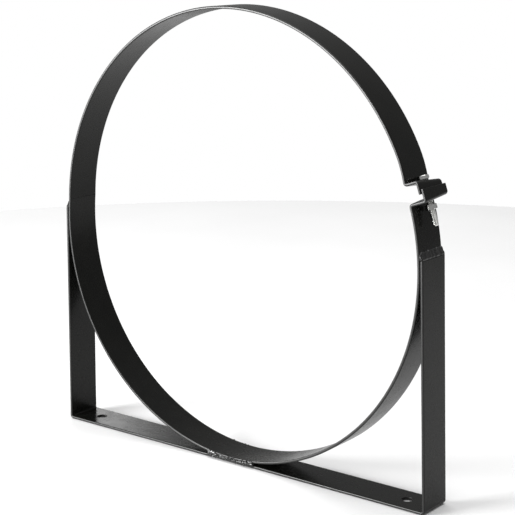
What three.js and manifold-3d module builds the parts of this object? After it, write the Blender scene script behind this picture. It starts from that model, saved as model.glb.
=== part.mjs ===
// Strap ring bracket: a U-shaped bracket of flat strip, a split strap ring welded into it,
// and a bolt that closes the ring at its right-hand side.
// Frame: millimetres, X along the base, Y across the strap (the front is -Y), Z up.
// The origin is the centre of the base's underside.
import * as THREE from 'three';
import { mergeVertices } from 'three/addons/utils/BufferGeometryUtils.js';
import Module from 'manifold-3d';

const wasm = await Module();
wasm.setup();

// ---------- driving dimensions ----------
const GAP = 0.3;                  // clearance kept between separate solids
const STRAP_WIDTH = 40;           // along Y
const STRAP_THICKNESS = 3;
const RING_RADIUS = 228;          // outer face of the welded half of the ring
const FREE_RADIUS = 225.6;        // outer face of the free, sprung half
const SPLIT_ANGLE = 173.5;        // where the free half leaves the left weld, degrees from +X
const SPRUNG_OPEN = 3.9;          // how far the free half stands open, degrees
const FREE_END_PULL = 1.6;        // how far the free half's last stretch is drawn in towards the centre
const FREE_END_ARC = 7;           // length of that stretch, degrees

const LEG_FOOT_X = 234.4;         // legs' inner faces at the underside of the base
const LEG_LEAN = 0.026;           // how much each leg leans in, mm per mm of height
const LEG_TOP = 247;
const BASE_BEND_RADIUS = 4.2;     // outside of the two bends at the base
const SCREW_HOLE_X = 206;
const SCREW_HOLE_RADIUS = 5.5;

// The closure is drawn in its own axes: `out` runs from the ring's centre through the closure,
// `up` runs along the bolt. Both are measured from the ring's centre.
const CLOSURE_ANGLE = 19;         // direction of `out`, degrees from +X
const UPPER_FLANGE_TOP = 12.7;
const LOWER_FLANGE_TOP = -6.7;
const UPPER_LIP_INNER = 238.25;   // inner face of the lip that points down
const UPPER_LIP_END = -0.6;
const LOWER_LIP_END = 4;
const FLANGE_BEND_RADIUS = 3.5;   // outside of the bends at the closure
const UPPER_FLANGE_SKEW = -3.2;   // rise of each flange from the front edge to the back edge
const LOWER_FLANGE_SKEW = 3.2;
const LIP_CLEARANCE = 0.5;        // between the two nested lips
const UPPER_HOLE_RADIUS = 3.2;    // bolt hole in the upper flange
const LOWER_HOLE_RADIUS = 3.8;    // the lower hole is larger, so that the flange can slide on the bolt

const BOLT_OUT = 235;             // bolt axis, along `out`
const BOLT_RADIUS = 2.9;
const BOLT_TIP = -32.2;
const BOLT_TIP_CHAMFER = 0.9;
const HEAD_SEAT = 11.9;
const HEAD_HEIGHT = 4;
const HEX_ACROSS_FLATS = 10;
const NUT_TOP = -11.5;
const NUT_HEIGHT = 5.2;
const NUT_BORE_RADIUS = 3.25;

const LEG_WELD_HEIGHT = 7.5;      // of the beads on the legs' top ends
const LEG_WELD_WIDTH = 37;
const BASE_WELD_LENGTH = 62;      // of the beads where the ring stands on the base
const BASE_WELD_RADIUS = 2.3;

const ARC_STEP = 3;               // degrees between points of a ring arc
const BEND_STEPS = 4;

// ---------- values that follow ----------
const RING_CENTRE_Z = STRAP_THICKNESS + GAP + RING_RADIUS;
const HALF_WIDTH = STRAP_WIDTH / 2;
const LOWER_LIP_INNER = UPPER_LIP_INNER + STRAP_THICKNESS + LIP_CLEARANCE;

// ---------- materials ----------
function finish(name, color, roughness, metalness) {
  return new THREE.MeshStandardMaterial({ name, color, roughness, metalness });
}

const blackCoat = finish('black_coat', 0x232322, 0.45, 0.1);
const weldCoat = finish('weld_coat', 0x1c1c1b, 0.45, 0.1);
const zinc = finish('zinc', 0xb9bab6, 0.35, 0.9);

// ---------- points ----------
const radians = THREE.MathUtils.degToRad;
const closureTurn = radians(CLOSURE_ANGLE);
const outAxis = new THREE.Vector2(Math.cos(closureTurn), Math.sin(closureTurn));
const upAxis = new THREE.Vector2(-Math.sin(closureTurn), Math.cos(closureTurn));
const ringCentre = new THREE.Vector2(0, RING_CENTRE_Z);

// A point of the closure, given along `out` and `up`, as X and Z.
function closurePoint(out, up) {
  return ringCentre.clone().addScaledVector(outAxis, out).addScaledVector(upAxis, up);
}

// The same point the other way round: X and Z as `out` and `up`.
function closureAxes(x, z) {
  const fromCentre = new THREE.Vector2(x, z).sub(ringCentre);
  return { out: fromCentre.dot(outAxis), up: fromCentre.dot(upAxis) };
}

// Points of an arc in the XZ plane, angles in degrees from +X.
function arc(centre, radius, from, to, steps) {
  const points = [];
  for (let i = 0; i <= steps; i += 1) {
    const angle = radians(from + (to - from) * i / steps);
    points.push(new THREE.Vector2(Math.cos(angle), Math.sin(angle)).multiplyScalar(radius).add(centre));
  }
  return points;
}

// Draws the end of an arc in towards the arc's centre, more and more as the end comes nearer.
function pulledIn(points, centre, end) {
  return points.map((point) => {
    const fromCentre = point.clone().sub(centre);
    const left = THREE.MathUtils.radToDeg(fromCentre.angle()) - end;
    const share = THREE.MathUtils.clamp(1 - left / FREE_END_ARC, 0, 1);
    return point.clone().addScaledVector(fromCentre.normalize(), -FREE_END_PULL * share ** 2);
  });
}

// The angle at which a circle crosses a given height of the closure.
function angleAtHeight(centre, radius, up) {
  const centreUp = closureAxes(centre.x, centre.y).up;
  return CLOSURE_ANGLE + THREE.MathUtils.radToDeg(Math.asin((up - centreUp) / radius));
}

// A quarter bend at the closure, angles from the closure's own `out` direction.
function closureBend(out, up, radius, from, to) {
  return arc(closurePoint(out, up), radius, CLOSURE_ANGLE + from, CLOSURE_ANGLE + to, BEND_STEPS);
}

// ---------- solids ----------
// A profile in the XZ plane becomes a prism centred on Y = 0.
function prism(points, width) {
  const shape = new THREE.Shape(points);
  const geometry = new THREE.ExtrudeGeometry(shape, { depth: width, bevelEnabled: false });
  geometry.translate(0, 0, -width / 2);
  geometry.rotateX(Math.PI / 2);
  return geometry;
}

// Swings one flange so that its back edge stands higher or lower than its front edge.
function skewFlange(geometry, lowest, highest, rise) {
  const position = geometry.attributes.position;
  for (let i = 0; i < position.count; i += 1) {
    const here = closureAxes(position.getX(i), position.getZ(i));
    const inFlange = here.out > RING_RADIUS - 8 && here.up > lowest && here.up < highest;
    const lift = inFlange ? rise * (position.getY(i) + HALF_WIDTH) / STRAP_WIDTH : 0;
    position.setX(i, position.getX(i) + upAxis.x * lift);
    position.setZ(i, position.getZ(i) + upAxis.y * lift);
  }
  return geometry;
}

function toSolid(geometry) {
  const bare = geometry.clone();
  bare.deleteAttribute('normal');
  bare.deleteAttribute('uv');
  const merged = mergeVertices(bare, 1e-4);
  const mesh = new wasm.Mesh({
    numProp: 3,
    vertProperties: new Float32Array(merged.attributes.position.array),
    triVerts: new Uint32Array(merged.index.array),
  });
  return new wasm.Manifold(mesh);
}

function toGeometry(solid) {
  const mesh = solid.getMesh();
  const geometry = new THREE.BufferGeometry();
  geometry.setAttribute('position', new THREE.BufferAttribute(mesh.vertProperties, 3));
  geometry.setIndex(new THREE.BufferAttribute(mesh.triVerts, 1));
  geometry.computeVertexNormals();
  return geometry;
}

function cut(geometry, ...tools) {
  return toGeometry(tools.reduce((solid, tool) => solid.subtract(toSolid(tool)), toSolid(geometry)));
}

// Stands a shape made along +Y on the bolt's axis, with its middle at height `up`.
function ontoBoltAxis(geometry, up) {
  const place = closurePoint(BOLT_OUT, up);
  geometry.rotateX(Math.PI / 2);
  geometry.rotateY(-closureTurn);
  geometry.translate(place.x, 0, place.y);
  return geometry;
}

function hexPrism(height) {
  const cornerRadius = HEX_ACROSS_FLATS / Math.sqrt(3);
  return new THREE.CylinderGeometry(cornerRadius, cornerRadius, height, 6);
}

// A hole for the bolt through one flange, given the height of the flange's middle.
function boltHole(radius, up) {
  return ontoBoltAxis(new THREE.CylinderGeometry(radius, radius, 4 * STRAP_THICKNESS, 24), up);
}

// ---------- base bracket ----------
// One face of the bracket from the left leg's top, round the base, to the right leg's top.
function bracketFace(inset) {
  const radius = BASE_BEND_RADIUS - inset;
  const lean = THREE.MathUtils.radToDeg(Math.atan(LEG_LEAN));
  const footX = LEG_FOOT_X + STRAP_THICKNESS - inset;
  const topX = footX - LEG_LEAN * LEG_TOP;
  const bendX = LEG_FOOT_X + STRAP_THICKNESS - BASE_BEND_RADIUS;
  const left = arc(new THREE.Vector2(-bendX, BASE_BEND_RADIUS), radius, 180 - lean, 270, 6);
  const right = arc(new THREE.Vector2(bendX, BASE_BEND_RADIUS), radius, 270, 360 + lean, 6);
  return [new THREE.Vector2(-topX, LEG_TOP), ...left, ...right, new THREE.Vector2(topX, LEG_TOP)];
}

function makeBracket() {
  const outline = [...bracketFace(0), ...bracketFace(STRAP_THICKNESS).reverse()];
  const holes = [-SCREW_HOLE_X, SCREW_HOLE_X].map((x) => {
    const hole = new THREE.CylinderGeometry(SCREW_HOLE_RADIUS, SCREW_HOLE_RADIUS, 4 * STRAP_THICKNESS, 32);
    hole.rotateX(Math.PI / 2);
    hole.translate(x, 0, 0);
    return hole;
  });
  return cut(prism(outline, STRAP_WIDTH), ...holes);
}

// ---------- welded half of the ring ----------
function makeLowerStrap() {
  const innerRadius = RING_RADIUS - STRAP_THICKNESS;
  const under = LOWER_FLANGE_TOP - STRAP_THICKNESS;
  const outerEnd = 360 + angleAtHeight(ringCentre, RING_RADIUS, under);
  const innerEnd = 360 + angleAtHeight(ringCentre, innerRadius, under);
  const steps = Math.round((outerEnd - SPLIT_ANGLE) / ARC_STEP);
  const lipOuter = LOWER_LIP_INNER + STRAP_THICKNESS;
  const bendOut = lipOuter - FLANGE_BEND_RADIUS;
  const bendUp = under + FLANGE_BEND_RADIUS;
  const outline = [
    ...arc(ringCentre, RING_RADIUS, SPLIT_ANGLE, outerEnd, steps),
    ...closureBend(bendOut, bendUp, FLANGE_BEND_RADIUS, 270, 360),
    closurePoint(lipOuter, LOWER_LIP_END),
    closurePoint(LOWER_LIP_INNER, LOWER_LIP_END),
    closurePoint(LOWER_LIP_INNER, LOWER_FLANGE_TOP),
    ...closureBend(innerRadius + STRAP_THICKNESS, under, STRAP_THICKNESS, 90, 180),
    ...arc(ringCentre, innerRadius, innerEnd, SPLIT_ANGLE, steps).slice(1),
  ];
  const straight = prism(outline, STRAP_WIDTH);
  const strap = skewFlange(straight, under - 0.5, LOWER_FLANGE_TOP + 1, LOWER_FLANGE_SKEW);
  return cut(strap, boltHole(LOWER_HOLE_RADIUS, LOWER_FLANGE_TOP));
}

// ---------- free half of the ring ----------
function makeUpperStrap() {
  const splitPoint = arc(ringCentre, RING_RADIUS, SPLIT_ANGLE, SPLIT_ANGLE, 1)[0];
  const towardsCentre = radians(SPLIT_ANGLE + 180 + SPRUNG_OPEN);
  const inwards = new THREE.Vector2(Math.cos(towardsCentre), Math.sin(towardsCentre));
  const centre = splitPoint.addScaledVector(inwards, FREE_RADIUS);
  const innerRadius = FREE_RADIUS - STRAP_THICKNESS;
  const gapAngle = THREE.MathUtils.radToDeg(2 * GAP / FREE_RADIUS);
  const start = SPLIT_ANGLE + SPRUNG_OPEN - gapAngle;
  const under = UPPER_FLANGE_TOP - STRAP_THICKNESS;
  const outerEnd = angleAtHeight(centre, FREE_RADIUS, UPPER_FLANGE_TOP);
  const innerEnd = angleAtHeight(centre, innerRadius, UPPER_FLANGE_TOP);
  const steps = Math.round((start - outerEnd) / ARC_STEP);
  const lipOuter = UPPER_LIP_INNER + STRAP_THICKNESS;
  const bendOut = lipOuter - FLANGE_BEND_RADIUS;
  const bendUp = UPPER_FLANGE_TOP - FLANGE_BEND_RADIUS;
  const innerArc = pulledIn(arc(centre, innerRadius, start, innerEnd, steps), centre, innerEnd);
  const outerArc = pulledIn(arc(centre, FREE_RADIUS, outerEnd, start, steps), centre, outerEnd);
  const rootEdge = innerArc.at(-1);
  const rootOut = closureAxes(rootEdge.x, rootEdge.y).out;
  const outline = [
    ...innerArc.slice(0, -1),
    ...closureBend(rootOut + STRAP_THICKNESS, UPPER_FLANGE_TOP, STRAP_THICKNESS, 180, 270),
    closurePoint(UPPER_LIP_INNER, under),
    closurePoint(UPPER_LIP_INNER, UPPER_LIP_END),
    closurePoint(lipOuter, UPPER_LIP_END),
    ...closureBend(bendOut, bendUp, FLANGE_BEND_RADIUS, 0, 90),
    ...outerArc,
  ];
  const straight = prism(outline, STRAP_WIDTH);
  const strap = skewFlange(straight, under - 1, UPPER_FLANGE_TOP + 0.5, UPPER_FLANGE_SKEW);
  return cut(strap, boltHole(UPPER_HOLE_RADIUS, under));
}

// ---------- fastener ----------
function makeBolt() {
  const shankTop = HEAD_SEAT + HEAD_HEIGHT / 2;
  const profile = [
    new THREE.Vector2(0, BOLT_TIP),
    new THREE.Vector2(BOLT_RADIUS - BOLT_TIP_CHAMFER, BOLT_TIP),
    new THREE.Vector2(BOLT_RADIUS, BOLT_TIP + BOLT_TIP_CHAMFER),
    new THREE.Vector2(BOLT_RADIUS, shankTop),
    new THREE.Vector2(0, shankTop),
  ];
  const shank = toSolid(ontoBoltAxis(new THREE.LatheGeometry(profile, 24), 0));
  const head = toSolid(ontoBoltAxis(hexPrism(HEAD_HEIGHT), HEAD_SEAT + HEAD_HEIGHT / 2));
  return toGeometry(head.add(shank));
}

function makeNut() {
  const middle = NUT_TOP - NUT_HEIGHT / 2;
  const bore = new THREE.CylinderGeometry(NUT_BORE_RADIUS, NUT_BORE_RADIUS, 2 * NUT_HEIGHT, 24);
  return cut(ontoBoltAxis(hexPrism(NUT_HEIGHT), middle), ontoBoltAxis(bore, middle));
}

// ---------- weld beads ----------
// A bead across the strap, in the corner between a leg's top end and the ring's outer face.
function makeLegWeld(side) {
  const seat = LEG_TOP + GAP;
  const footX = LEG_FOOT_X - LEG_LEAN * LEG_TOP + STRAP_THICKNESS;
  const against = [];
  for (let i = 0; i <= 3; i += 1) {
    const z = seat + LEG_WELD_HEIGHT * i / 3;
    const ringX = Math.sqrt((RING_RADIUS + GAP) ** 2 - (z - RING_CENTRE_Z) ** 2);
    against.push(new THREE.Vector2(side * ringX, z));
  }
  const bulge = new THREE.Vector2(side * (footX - 0.4), seat + 0.45 * LEG_WELD_HEIGHT);
  return prism([...against, bulge, new THREE.Vector2(side * footX, seat)], LEG_WELD_WIDTH);
}

// A half-round bead along the edges of the ring and the base, in front or behind.
function makeBaseWeld(side) {
  const bead = new THREE.CapsuleGeometry(BASE_WELD_RADIUS, BASE_WELD_LENGTH - 2 * BASE_WELD_RADIUS, 4, 12);
  bead.rotateZ(Math.PI / 2);
  bead.translate(0, side * (HALF_WIDTH + GAP), STRAP_THICKNESS);
  const strip = new THREE.BoxGeometry(2 * BASE_WELD_LENGTH, STRAP_WIDTH + 2 * GAP, 4 * STRAP_THICKNESS);
  strip.translate(0, 0, STRAP_THICKNESS);
  return cut(bead, strip);
}

// ---------- the object ----------
const object = new THREE.Group();

function add(name, geometry, material) {
  const mesh = new THREE.Mesh(geometry, material);
  mesh.name = name;
  object.add(mesh);
}

add('u_bracket', makeBracket(), blackCoat);
add('ring_strap_welded', makeLowerStrap(), blackCoat);
add('ring_strap_free', makeUpperStrap(), blackCoat);
add('clamp_bolt', makeBolt(), zinc);
add('clamp_nut', makeNut(), zinc);
add('weld_left_leg', makeLegWeld(-1), weldCoat);
add('weld_right_leg', makeLegWeld(1), weldCoat);
add('weld_base_front', makeBaseWeld(-1), weldCoat);
add('weld_base_back', makeBaseWeld(1), weldCoat);

export default object;
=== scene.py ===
import math

import bpy
from mathutils import Matrix, Vector, noise


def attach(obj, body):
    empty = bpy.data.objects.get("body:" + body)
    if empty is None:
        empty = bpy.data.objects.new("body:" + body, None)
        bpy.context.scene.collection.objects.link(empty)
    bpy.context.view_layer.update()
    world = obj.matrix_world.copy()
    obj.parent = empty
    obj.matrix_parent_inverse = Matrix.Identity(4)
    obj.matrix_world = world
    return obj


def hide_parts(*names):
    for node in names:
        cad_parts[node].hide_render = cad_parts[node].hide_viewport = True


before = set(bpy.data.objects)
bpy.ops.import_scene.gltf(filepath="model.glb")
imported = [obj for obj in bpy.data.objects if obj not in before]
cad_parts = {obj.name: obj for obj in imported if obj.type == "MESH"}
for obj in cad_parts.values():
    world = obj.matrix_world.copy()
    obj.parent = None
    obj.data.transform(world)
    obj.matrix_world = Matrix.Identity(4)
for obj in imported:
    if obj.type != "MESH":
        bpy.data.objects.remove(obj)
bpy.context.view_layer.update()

# Lengths are in millimetres until a mesh is made. X runs along the base, Y across the strap
# (the front is -Y) and Z up; the origin is the centre of the base's underside.
MM = 0.001

# ---------- dimensions, as in the CAD part ----------
GAP = 0.3                    # clearance between separate solids
HALF_WIDTH = 20.0            # of the strip, which is as wide everywhere
THICK = 3.0
RING_R = 228.0               # outer face of the welded half of the ring
FREE_R = 225.6               # outer face of the free half
SPLIT = 173.5                # where the free half begins, degrees from +X
SPRUNG_OPEN = 3.9            # how far the free half stands open, degrees
FREE_END_PULL = 1.6          # how far the free half's last stretch is drawn in
FREE_END_ARC = 7.0           # length of that stretch, degrees
CENTRE_Z = THICK + GAP + RING_R
LEG_FOOT = 234.4             # inner face of each leg at the base's underside
LEG_LEAN = 0.026             # how much each leg leans in, mm per mm of height
LEG_TOP = 247.0
BASE_BEND = 4.2              # outside radius of the two bends at the base
SCREW_X = 206.0
SCREW_R = 5.5

# The closure has its own axes: out from the ring's centre, and up along the bolt.
CLOSURE_ANGLE = 19.0         # direction of its out axis, degrees from +X
UPPER_TOP = 12.7             # upper face of each flange
LOWER_TOP = -6.7
UPPER_SKEW = -3.2            # rise of each flange from the front edge to the back edge
LOWER_SKEW = 3.2
UPPER_LIP_IN = 238.25        # inner face and end of the lip that points down
UPPER_LIP_END = -0.6
LOWER_LIP_IN = 241.75        # inner face and end of the lip that points up
LOWER_LIP_END = 4.0
UPPER_HOLE_R = 3.2
LOWER_HOLE_R = 3.8
BOLT_OUT = 235.0
BOLT_R = 2.9
BOLT_TIP = -32.2
HEAD_SEAT = 11.9
HEAD_H = 4.0
FLATS = 10.0
NUT_TOP = -11.5
NUT_H = 5.2
NUT_BORE = 3.25

# ---------- details that only the visual has ----------
SEAM = 0.02                  # between the two halves of the strap, which is one piece in life
INSIDE_BEND = 0.45           # inside radius of the bends at the closure
EDGE = 1.15                  # rounding of the strip's long edges
EDGE_STEPS = 5
END_SOFT = 0.4               # the same at its cut ends
RING_STEPS_WELDED = 140      # stretches of strip in each half of the ring
RING_STEPS_FREE = 110
BASE_BEND_STEPS = 10
HOLE_RIM = 0.4               # how far the rim of a hole is rounded
HOLE_STEPS = 48
UPPER_HOLE_REACH = 3.2       # how far each bolt hole's cutter goes above and below the flange's middle
LOWER_HOLE_REACH = 4.0
PITCH = 1.0                  # of the M6 thread
THREAD_DEPTH = 0.4
THREAD_STEPS = 48            # round the thread
THREAD_RINGS_PER_TURN = 10   # along it
HEX_CORNER = 5.68            # radius to the worn corners of the hexagons
NUT_STEPS = 96
LEG_WELD_HEIGHT = 7.5
LEG_WELD_HALF = 19.6         # half its length across the strap
LEG_WELD_STEPS = 92
BASE_WELD_HALF = 31.0        # half its length along the base
BASE_WELD_R = 2.1
BASE_WELD_STEPS = 150


# ---------- points ----------
def polar(centre, radius, degrees):
    a = math.radians(degrees)
    return Vector((centre[0] + radius * math.cos(a), centre[1] + radius * math.sin(a)))


def spread(a, b, steps):
    return [a + (b - a) * i / steps for i in range(steps + 1)]


RING_CENTRE = Vector((0.0, CENTRE_Z))
OUT_AXIS = polar((0, 0), 1, CLOSURE_ANGLE)
UP_AXIS = polar((0, 0), 1, CLOSURE_ANGLE + 90)
SPLIT_POINT = polar(RING_CENTRE, RING_R, SPLIT)
FREE_CENTRE = polar(SPLIT_POINT, FREE_R, SPLIT + 180 + SPRUNG_OPEN)


def closure(out, up):
    """X and Z of a point given along and across the closure's own axis."""
    return RING_CENTRE + OUT_AXIS * out + UP_AXIS * up


def ring_out(centre, radius, up):
    """How far along the closure's axis a ring's face lies at a height of the closure."""
    offset = centre - RING_CENTRE
    rise = up - offset.dot(UP_AXIS)
    return offset.dot(OUT_AXIS) + math.sqrt(radius ** 2 - rise ** 2)


def angle_at(centre, radius, up):
    """The angle at which a ring's face crosses a height of the closure, degrees from +X."""
    offset = centre - RING_CENTRE
    return CLOSURE_ANGLE + math.degrees(math.asin((up - offset.dot(UP_AXIS)) / radius))


# ---------- meshes ----------
def make(name, verts, faces, sharp=40, body=None, node=None, slot=None):
    mesh = bpy.data.meshes.new(name)
    mesh.from_pydata([Vector(v) * MM for v in verts], [], faces)
    mesh.validate()
    ob = bpy.data.objects.new(name, mesh)
    bpy.context.scene.collection.objects.link(ob)
    shade(ob, sharp)
    if body:
        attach(ob, body)
        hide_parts(node)
    return ob


def shade(ob, sharp):
    mesh = ob.data
    mesh.polygons.foreach_set("use_smooth", [True] * len(mesh.polygons))
    mesh.set_sharp_from_angle(angle=math.radians(sharp))


def loops_to_faces(count, size, closed=False):
    """Quads between rings of vertices, with a cap at each end unless the rings close on themselves."""
    faces = []
    for i in range(count if closed else count - 1):
        a, b = i * size, ((i + 1) % count) * size
        faces += [(a + j, a + (j + 1) % size, b + (j + 1) % size, b + j) for j in range(size)]
    if not closed:
        faces += [tuple(reversed(range(size))), tuple(range((count - 1) * size, count * size))]
    return faces


def section(outer, inner, skew, inset):
    """A rounded rectangle across the strip: from its outer to its inner face, and from front to back."""
    across = inner - outer
    thick = across.length
    across = across / thick
    edge = EDGE - inset
    loop = []
    corners = [(inset, -HALF_WIDTH + inset, 180), (thick - inset, -HALF_WIDTH + inset, 270),
               (thick - inset, HALF_WIDTH - inset, 0), (inset, HALF_WIDTH - inset, 90)]
    for s, y, start in corners:
        cs = s + edge if s < thick / 2 else s - edge
        cy = y + edge if y < 0 else y - edge
        for a in spread(start, start + 90, EDGE_STEPS):
            turn = math.radians(a)
            ps, py = cs + edge * math.cos(turn), cy + edge * math.sin(turn)
            lift = UP_AXIS * (skew * (py + HALF_WIDTH) / (2 * HALF_WIDTH))
            point = outer + across * ps + lift
            loop.append((point.x, py, point.y))
    return loop


def strip(name, stations, square=None, **where):
    """A flat strip through stations of (outer point, inner point, skew).

    Both ends are softened, unless square is "first".
    """
    first, last = stations[0], stations[-1]

    def softened(end, towards):
        step = (towards[0] - end[0]).normalized() * END_SOFT
        inside = (end[0] + step, end[1] + step, end[2])
        return [section(*end, END_SOFT), section(*inside, 0.0)]

    rings = [section(*first, 0.0)] if square == "first" else softened(first, stations[1])
    rings += [section(*s, 0.0) for s in stations[1:-1]]
    rings += reversed(softened(last, stations[-2]))
    verts = [v for ring in rings for v in ring]
    return make(name, verts, loops_to_faces(len(rings), len(rings[0])), sharp=50, **where)


def lathe(rings, steps, place):
    """Rings of (radius, height) about a line; place takes (x, y, height) into the part's frame."""
    verts = []
    for radius, height in rings:
        for i in range(steps):
            a = 2 * math.pi * i / steps
            verts.append(place(radius * math.cos(a), radius * math.sin(a), height))
    return verts


def on_bolt(x, y, up):
    """A point round the bolt's axis, in the part's frame."""
    point = closure(BOLT_OUT + x, up)
    return (point.x, -y, point.y)


def hole(ob, radius, low, high, place):
    """Cuts a round hole whose two rims are a little rounded."""
    rim = HOLE_RIM
    rings = [
        (radius + 2 * rim, low - rim),
        (radius + rim * 0.3, low + rim * 0.4),
        (radius, low + rim),
        (radius, high - rim),
        (radius + rim * 0.3, high - rim * 0.4),
        (radius + 2 * rim, high + rim),
    ]
    cutter = make("cutter", lathe(rings, HOLE_STEPS, place), loops_to_faces(len(rings), HOLE_STEPS))
    boolean = ob.modifiers.new("hole", "BOOLEAN")
    boolean.operation = "DIFFERENCE"
    boolean.solver = "EXACT"
    boolean.object = cutter
    graph = bpy.context.evaluated_depsgraph_get()
    cut = bpy.data.meshes.new_from_object(ob.evaluated_get(graph))
    ob.modifiers.clear()
    ob.data = cut
    shade(ob, 50)
    bpy.data.objects.remove(cutter)


def flat_faces_stay_flat(ob):
    weighted = ob.modifiers.new("normals", "WEIGHTED_NORMAL")
    weighted.weight = 80
    weighted.keep_sharp = True


# ---------- strips ----------
def build_bracket():
    lean = math.degrees(math.atan(LEG_LEAN))
    bend_x = LEG_FOOT + THICK - BASE_BEND
    top_x = LEG_FOOT - LEG_LEAN * LEG_TOP
    inside = BASE_BEND - THICK
    stations = [(Vector((-top_x - THICK, LEG_TOP)), Vector((-top_x, LEG_TOP)), 0.0)]
    for side, start, end in ((-1, 180 - lean, 270), (1, 270, 360 + lean)):
        centre = (side * bend_x, BASE_BEND)
        for a in spread(start, end, BASE_BEND_STEPS):
            stations.append((polar(centre, BASE_BEND, a), polar(centre, inside, a), 0.0))
    stations.append((Vector((top_x + THICK, LEG_TOP)), Vector((top_x, LEG_TOP)), 0.0))
    ob = strip("bracket_strip", stations, body="frame", node="u_bracket", slot="black_coat")
    for x in (-SCREW_X, SCREW_X):
        hole(ob, SCREW_R, 0.0, THICK, lambda px, py, h, x=x: (x + px, py, h))
    return ob


def bend(out, up, start, end, skew, steps=8):
    """Stations round a bend whose centre is (out, up); its inside face has the small radius."""
    small, large = INSIDE_BEND, INSIDE_BEND + THICK
    return [(closure(out, up) + polar((0, 0), small, CLOSURE_ANGLE + a),
             closure(out, up) + polar((0, 0), large, CLOSURE_ANGLE + a), skew)
            for a in spread(start, end, steps)]


def turned(stations):
    """The same strip with its two faces exchanged."""
    return [(inner, outer, skew) for outer, inner, skew in stations]


def build_welded_strap():
    under = LOWER_TOP - THICK
    root_up = under - INSIDE_BEND
    end = 360 + angle_at(RING_CENTRE, RING_R, root_up)
    arc = [(polar(RING_CENTRE, RING_R, a), polar(RING_CENTRE, RING_R - THICK, a), 0.0)
           for a in spread(SPLIT, end, RING_STEPS_WELDED)][:-1]
    root = bend(ring_out(RING_CENTRE, RING_R, root_up) + INSIDE_BEND, root_up, 180, 90, LOWER_SKEW)
    lip = turned(bend(LOWER_LIP_IN - INSIDE_BEND, LOWER_TOP + INSIDE_BEND, 270, 360, LOWER_SKEW))
    tip = [(closure(LOWER_LIP_IN + THICK, LOWER_LIP_END), closure(LOWER_LIP_IN, LOWER_LIP_END), 0.0)]
    ob = strip("welded_half_of_ring", arc + root + lip + tip, square="first",
               body="frame", node="ring_strap_welded", slot="black_coat")
    middle = (LOWER_TOP * 2 - THICK + LOWER_SKEW) / 2
    hole(ob, LOWER_HOLE_R, middle - LOWER_HOLE_REACH, middle + LOWER_HOLE_REACH, on_bolt)
    return ob


def build_free_strap():
    start = SPLIT + SPRUNG_OPEN - math.degrees(SEAM / FREE_R)
    root_up = UPPER_TOP + INSIDE_BEND
    end = angle_at(FREE_CENTRE, FREE_R, root_up)
    arc = []
    for a in spread(start, end, RING_STEPS_FREE)[:-1]:
        pull = FREE_END_PULL * min(1.0, max(0.0, 1 - (a - end) / FREE_END_ARC)) ** 2
        outer = polar(FREE_CENTRE, FREE_R - pull, a)
        inner = polar(FREE_CENTRE, FREE_R - THICK - pull, a)
        arc.append((outer, inner, 0.0))
    root_out = ring_out(FREE_CENTRE, FREE_R - FREE_END_PULL, root_up) + INSIDE_BEND
    root = bend(root_out, root_up, 180, 270, UPPER_SKEW)
    under = UPPER_TOP - THICK
    lip = turned(bend(UPPER_LIP_IN - INSIDE_BEND, under - INSIDE_BEND, 90, 0, UPPER_SKEW))
    tip = [(closure(UPPER_LIP_IN + THICK, UPPER_LIP_END), closure(UPPER_LIP_IN, UPPER_LIP_END), 0.0)]
    stations = turned(arc + root + lip + tip)
    ob = strip("free_half_of_ring", stations, square="first",
               body="ring_jaw", node="ring_strap_free", slot="black_coat")
    middle = (UPPER_TOP * 2 - THICK + UPPER_SKEW) / 2
    hole(ob, UPPER_HOLE_R, middle - UPPER_HOLE_REACH, middle + UPPER_HOLE_REACH, on_bolt)
    return ob


# ---------- fastener ----------
def hexagon(degrees):
    """Distance from the middle to a hexagon's side in some direction, with its corners worn off."""
    away = (degrees + 30) % 60 - 30
    return min(FLATS / 2 / math.cos(math.radians(away)), HEX_CORNER)


def hex_rings(levels, steps):
    """Rings of a hexagon nut or head from (kind, radius, height, way) levels.

    A "round" level is a plain circle. A "hex" level follows the hexagon, and outside its radius it
    slopes as the chamfer does: down towards the corners if way is 1, up if it is -1.
    """
    verts = []
    slope = math.tan(math.radians(30))
    for kind, radius, height, way in levels:
        for i in range(steps):
            degrees = 360 * i / steps
            a = math.radians(degrees)
            if kind == "hex":
                r = hexagon(degrees)
                h = height - way * slope * max(0.0, r - radius)
            else:
                r, h = radius, height
            verts.append(on_bolt(r * math.cos(a), r * math.sin(a), h))
    return verts


def threaded(low, high, radius, tip):
    """Rings of a helical thread between two heights, tapered over its lowest stretch, tip."""
    count = int((high - low) / PITCH * THREAD_RINGS_PER_TURN)
    tip_radius = radius - THREAD_DEPTH - 0.5
    tip_growth = 1.1
    verts = []
    for k in range(count + 1):
        h = low + (high - low) * k / count
        limit = tip_radius + min(1.0, (h - low) / tip) * tip_growth
        for i in range(THREAD_STEPS):
            phase = (h / PITCH - i / THREAD_STEPS) % 1.0
            # The crest and the root are flat for a part of each turn.
            ridge = min(1.0, max(0.0, abs(phase * 2 - 1) * 1.35 - 0.17))
            r = min(radius - THREAD_DEPTH * ridge, limit)
            a = 2 * math.pi * i / THREAD_STEPS
            verts.append(on_bolt(r * math.cos(a), r * math.sin(a), h))
    return verts, count + 1


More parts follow.
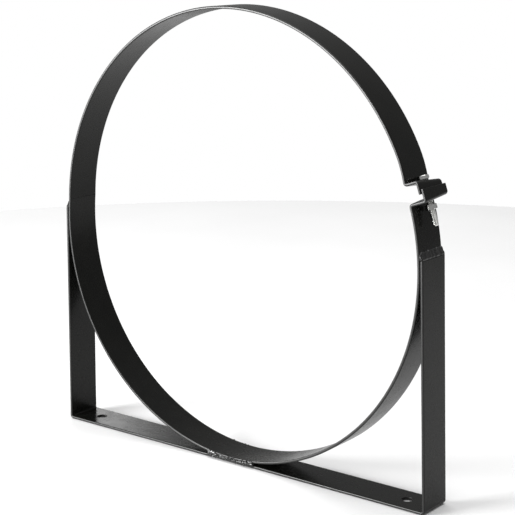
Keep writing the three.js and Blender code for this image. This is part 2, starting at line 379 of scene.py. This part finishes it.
def build_bolt():
    """One closed shape: the thread from its tip up, then the neck, the head and the dish in its top."""
    verts, count = threaded(BOLT_TIP, HEAD_SEAT - 0.6, BOLT_R + 0.12, 1.3)
    bottom, top = HEAD_SEAT, HEAD_SEAT + HEAD_H
    levels = [
        ("round", BOLT_R, bottom - 0.35, 0),
        ("round", BOLT_R + 0.25, bottom + 0.02, 0),
        ("round", 4.7, bottom + 0.02, 0),
        ("round", 4.75, bottom + 0.2, 0),
        ("hex", 4.95, bottom + 0.32, -1),
        ("hex", 4.85, top - 0.25, 1),
        ("round", 4.78, top - 0.05, 0),
        ("round", 4.6, top, 0),
        ("round", 3.6, top, 0),
        ("round", 3.3, top - 0.18, 0),
        ("round", 1.2, top - 0.22, 0),
    ]
    verts += hex_rings(levels, THREAD_STEPS)
    return make("hex_bolt", verts, loops_to_faces(count + len(levels), THREAD_STEPS), sharp=38,
                body="bolt", node="clamp_bolt", slot="zinc")


def build_nut():
    """From the bore's lower end out over the lower face, up the sides and back down into the bore."""
    top, low = NUT_TOP, NUT_TOP - NUT_H
    levels = [
        ("round", NUT_BORE, low + 0.7, 0),
        ("round", 3.55, low + 0.3, 0),
        ("round", 3.85, low, 0),
        ("round", 4.6, low, 0),
        ("hex", 4.75, low + 0.1, -1),
        ("hex", 4.75, top - 0.1, 1),
        ("round", 4.6, top, 0),
        ("round", 3.85, top, 0),
        ("round", 3.55, top - 0.3, 0),
        ("round", NUT_BORE, top - 0.7, 0),
    ]
    faces = loops_to_faces(len(levels), NUT_STEPS, closed=True)
    return make("hex_nut", hex_rings(levels, NUT_STEPS), faces, sharp=38,
                body="nut", node="clamp_nut", slot="zinc")


# ---------- welds ----------
def lump(x, y, z, scale, amount):
    return noise.noise(Vector((x, y, z)) * scale) * amount


def rounded_end(distance, length, least):
    """A bead's fullness at a distance from its end: from least up to 1, as a quarter round."""
    along = min(1.0, distance / length)
    return least + (1 - least) * math.sqrt(max(0.0, 1 - (1 - along) ** 2))


def bead(name, rings):
    verts = [v for ring in rings for v in ring]
    faces = loops_to_faces(len(rings), len(rings[0]))
    return make(name.replace("weld_", "bead_"), verts, faces, sharp=80,
                body="frame", node=name, slot="weld_coat")


def ring_face(z):
    """Distance from the middle plane to the ring's outer face at a height, with a small gap."""
    return math.sqrt((RING_R + GAP * 0.2) ** 2 - (z - CENTRE_Z) ** 2)


def build_leg_weld(side, name):
    """A fillet across the strap, from the leg's cut end up to the ring's outer face."""
    seat = LEG_TOP + GAP
    foot = LEG_FOOT - LEG_LEAN * LEG_TOP + THICK - 0.2
    face_points, bead_points = 4, 16
    rings = []
    for y in spread(-LEG_WELD_HALF, LEG_WELD_HALF, LEG_WELD_STEPS):
        full = rounded_end(LEG_WELD_HALF - abs(y), 1.2, 0.45)
        ripple = 0.05 * math.sin(2 * math.pi * y / 2.3 + 3 * lump(y, side, 0, 0.2, 1))
        rise = LEG_WELD_HEIGHT * full + lump(y, 5 * side, 2, 0.35, 1.1)
        heights = spread(seat, seat + rise, face_points)
        ring = [(side * ring_face(z), y, z) for z in heights]
        for i in range(1, bead_points):
            t = i / bead_points
            x = ring_face(seat + rise) * (1 - t) + foot * t
            z = seat + rise * (1 - t)
            # Two passes of the torch leave two low ridges on the fillet.
            passes = 0.45 * math.sin(math.pi * t) + 0.7 * abs(math.sin(2 * math.pi * t))
            bulge = passes * (1 + ripple + lump(y, t * 6, 9 * side, 0.3, 0.5)) * full
            ring.append((side * (x + 0.72 * bulge), y, z + 0.45 * bulge))
        ring.append((side * foot, y, seat - 0.1))
        rings.append(ring if side > 0 else ring[::-1])
    return bead(name, rings)


def build_base_weld(side, name):
    """A rough bead along the edges of the ring and the base."""
    middle = THICK + GAP / 2
    rings = []
    for x in spread(-BASE_WELD_HALF, BASE_WELD_HALF, BASE_WELD_STEPS):
        full = rounded_end(BASE_WELD_HALF - abs(x), 2.5, 0.3)
        ripple = 1 + 0.10 * math.sin(2 * math.pi * x / 3.1 + 4 * lump(x, side, 3, 0.12, 1))
        # The bead's upper half reaches up as the ring's outer face rises away from the base.
        wedge = RING_R - math.sqrt(RING_R ** 2 - x ** 2)
        ring = []
        for a in spread(-90, 90, 12):
            turn = math.radians(a)
            r = BASE_WELD_R * full * ripple * (1 + lump(x, a * 0.06, 7 * side, 0.45, 0.6))
            stretch = 1 + (wedge / 2.4 if a > 0 else 0)
            y = side * (HALF_WIDTH + r * math.cos(turn) * 0.9)
            ring.append((x, y, middle + r * math.sin(turn) * stretch))
        ring.append((x, side * (HALF_WIDTH - 0.6), middle))
        rings.append(ring if side < 0 else ring[::-1])
    return bead(name, rings)


# ---------- materials ----------
def node_tree(name):
    material = bpy.data.materials.new(name)
    material.use_nodes = True
    tree = material.node_tree
    return material, tree, tree.nodes["Principled BSDF"]


def add_node(tree, kind, **inputs):
    node = tree.nodes.new(kind)
    for name, value in inputs.items():
        node.inputs[name].default_value = value
    return node


def noise_at(tree, scale, detail=3.0, roughness=0.5):
    where = tree.nodes.new("ShaderNodeTexCoord")
    texture = add_node(tree, "ShaderNodeTexNoise", Scale=scale, Detail=detail, Roughness=roughness)
    tree.links.new(where.outputs["Object"], texture.inputs["Vector"])
    return texture.outputs["Fac"]


def ramp(tree, factor, low, high, from_low=0.3, from_high=0.7):
    node = tree.nodes.new("ShaderNodeMapRange")
    node.inputs["From Min"].default_value = from_low
    node.inputs["From Max"].default_value = from_high
    node.inputs["To Min"].default_value = low
    node.inputs["To Max"].default_value = high
    tree.links.new(factor, node.inputs["Value"])
    return node.outputs["Result"]


def colours(tree, factor, low, high):
    node = tree.nodes.new("ShaderNodeValToRGB")
    node.color_ramp.elements[0].position = 0.3
    node.color_ramp.elements[0].color = (*low, 1)
    node.color_ramp.elements[1].position = 0.72
    node.color_ramp.elements[1].color = (*high, 1)
    tree.links.new(factor, node.inputs["Fac"])
    return node.outputs["Color"]


def bump(tree, shader, height, strength, distance):
    node = add_node(tree, "ShaderNodeBump", Strength=strength, Distance=distance)
    tree.links.new(height, node.inputs["Height"])
    tree.links.new(node.outputs["Normal"], shader.inputs["Normal"])


def powder_coat(name, low, high, rough, peel, depth, gloss=0.17):
    """Semi-gloss powder coat: slow changes of tone and gloss, and an orange peel of a scale and depth."""
    material, tree, shader = node_tree(name)
    tree.links.new(colours(tree, noise_at(tree, 38, 4), low, high), shader.inputs["Base Color"])
    dulling = ramp(tree, noise_at(tree, 90, 5, 0.6), rough - 0.03, rough + 0.04)
    tree.links.new(dulling, shader.inputs["Roughness"])
    shader.inputs["Specular IOR Level"].default_value = gloss
    bump(tree, shader, noise_at(tree, peel, 2.5), depth, 0.0002)
    return material


def zinc_plate(name):
    material, tree, shader = node_tree(name)
    shader.inputs["Metallic"].default_value = 1.0
    tone = colours(tree, noise_at(tree, 420, 4), (0.62, 0.62, 0.6), (0.86, 0.86, 0.84))
    tree.links.new(tone, shader.inputs["Base Color"])
    tree.links.new(ramp(tree, noise_at(tree, 900, 3), 0.14, 0.24), shader.inputs["Roughness"])
    bump(tree, shader, noise_at(tree, 2400, 2), 0.15, 0.0001)
    return material


def dress(ob, material, edges=None):
    """One material, with a second one on the long edges of a strip, which face front and back."""
    ob.data.materials.clear()
    ob.data.materials.append(material)
    if edges:
        ob.data.materials.append(edges)
        for face in ob.data.polygons:
            face.material_index = 1 if abs(face.normal.y) > 0.6 else 0


coat = powder_coat("black_powder_coat", low=(0.0045, 0.0047, 0.0041), high=(0.0070, 0.0071, 0.0061),
                   rough=0.26, peel=900, depth=0.035)
edge_coat = powder_coat("coat_on_edges", low=(0.0045, 0.0047, 0.0043), high=(0.0068, 0.0069, 0.0063),
                        rough=0.36, peel=900, depth=0.04, gloss=0.45)
leg_bead_coat = powder_coat("coat_over_weld", low=(0.004, 0.004, 0.0038), high=(0.009, 0.009, 0.0085),
                            rough=0.2, peel=700, depth=0.2, gloss=0.5)
base_bead_coat = powder_coat("coat_over_rough_bead", low=(0.003, 0.003, 0.0028),
                             high=(0.006, 0.006, 0.0056), rough=0.1, peel=420, depth=0.35, gloss=0.5)
zinc = zinc_plate("zinc_plate")

for piece in (build_bracket(), build_welded_strap(), build_free_strap()):
    flat_faces_stay_flat(piece)
    dress(piece, coat, edge_coat)
for piece in (build_bolt(), build_nut()):
    flat_faces_stay_flat(piece)
    dress(piece, zinc)
for side, name in ((-1, "weld_left_leg"), (1, "weld_right_leg")):
    dress(build_leg_weld(side, name), leg_bead_coat)
for side, name in ((-1, "weld_base_front"), (1, "weld_base_back")):
    dress(build_base_weld(side, name), base_bead_coat)


# ---------- floor, light and camera ----------
def build_floor():
    radius, below, steps = 1500.0, -0.4, 96
    rim = [polar((0, 0), radius, 360 * i / steps) for i in range(steps)]
    floor = make("floor", [(p.x, p.y, below) for p in rim], [tuple(range(steps))])
    material, tree, shader = node_tree("pale_floor")
    tone = colours(tree, noise_at(tree, 3, 2), (0.86, 0.86, 0.86), (0.9, 0.9, 0.9))
    tree.links.new(tone, shader.inputs["Base Color"])
    shader.inputs["Roughness"].default_value = 0.9
    shader.inputs["Specular IOR Level"].default_value = 0.1
    dress(floor, material)


def soft_light(name, place, target, size, power):
    data = bpy.data.lights.new(name, "AREA")
    data.shape = "RECTANGLE"
    data.size, data.size_y = size
    data.energy = power
    light = bpy.data.objects.new(name, data)
    light.location = place
    light.rotation_euler = (Vector(target) - Vector(place)).to_track_quat("-Z", "Y").to_euler()
    bpy.context.scene.collection.objects.link(light)


def build_world(strength):
    world = bpy.data.worlds.new("studio")
    world.use_nodes = True
    tree = world.node_tree
    background = tree.nodes["Background"]
    background.inputs["Color"].default_value = (1, 1, 1, 1)
    # The camera sees the backdrop as plain white; it lights the object with less than that.
    seen = tree.nodes.new("ShaderNodeLightPath").outputs["Is Camera Ray"]
    tree.links.new(ramp(tree, seen, strength, 1.0, 0.0, 1.0), background.inputs["Strength"])
    bpy.context.scene.world = world


def build_camera(place, yaw, pitch, roll, lens):
    """The view: yaw turns it to the left of +Y, pitch down, and roll about its own line of sight."""
    yaw, pitch, roll = (math.radians(a) for a in (yaw, pitch, roll))
    level = Vector((-math.sin(yaw), math.cos(yaw), 0))
    forward = level * math.cos(pitch) - Vector((0, 0, math.sin(pitch)))
    right = forward.cross(Vector((0, 0, 1))).normalized()
    up = right.cross(forward)
    rolled_right = math.cos(roll) * right + math.sin(roll) * up
    rolled_up = math.cos(roll) * up - math.sin(roll) * right
    data = bpy.data.cameras.new("camera")
    data.sensor_width = 36
    data.lens = lens
    camera = bpy.data.objects.new("camera", data)
    turn = Matrix((rolled_right, rolled_up, -forward)).transposed()
    camera.matrix_world = Matrix.Translation(place) @ turn.to_4x4()
    bpy.context.scene.collection.objects.link(camera)
    bpy.context.scene.camera = camera


# Lights and camera are placed in metres.
build_floor()
build_world(strength=0.3)
soft_light("left_front", place=(-1.35, -2.05, 0.5), target=(0, 0, 0.3), size=(1.1, 0.9), power=120)
soft_light("back_left", place=(-3.0, 2.3, 1.25), target=(0, 0, 0.1), size=(1.0, 1.0), power=11.5)
soft_light("overhead", place=(0.0, 0.0, 2.8), target=(0, 0, 0), size=(3.2, 3.2), power=76)
build_camera(place=(0.89875, -1.10989, 0.53915), yaw=38.2729, pitch=12.7264, roll=-0.5415, lens=99.65)
bpy.context.scene.view_settings.view_transform = "Standard"
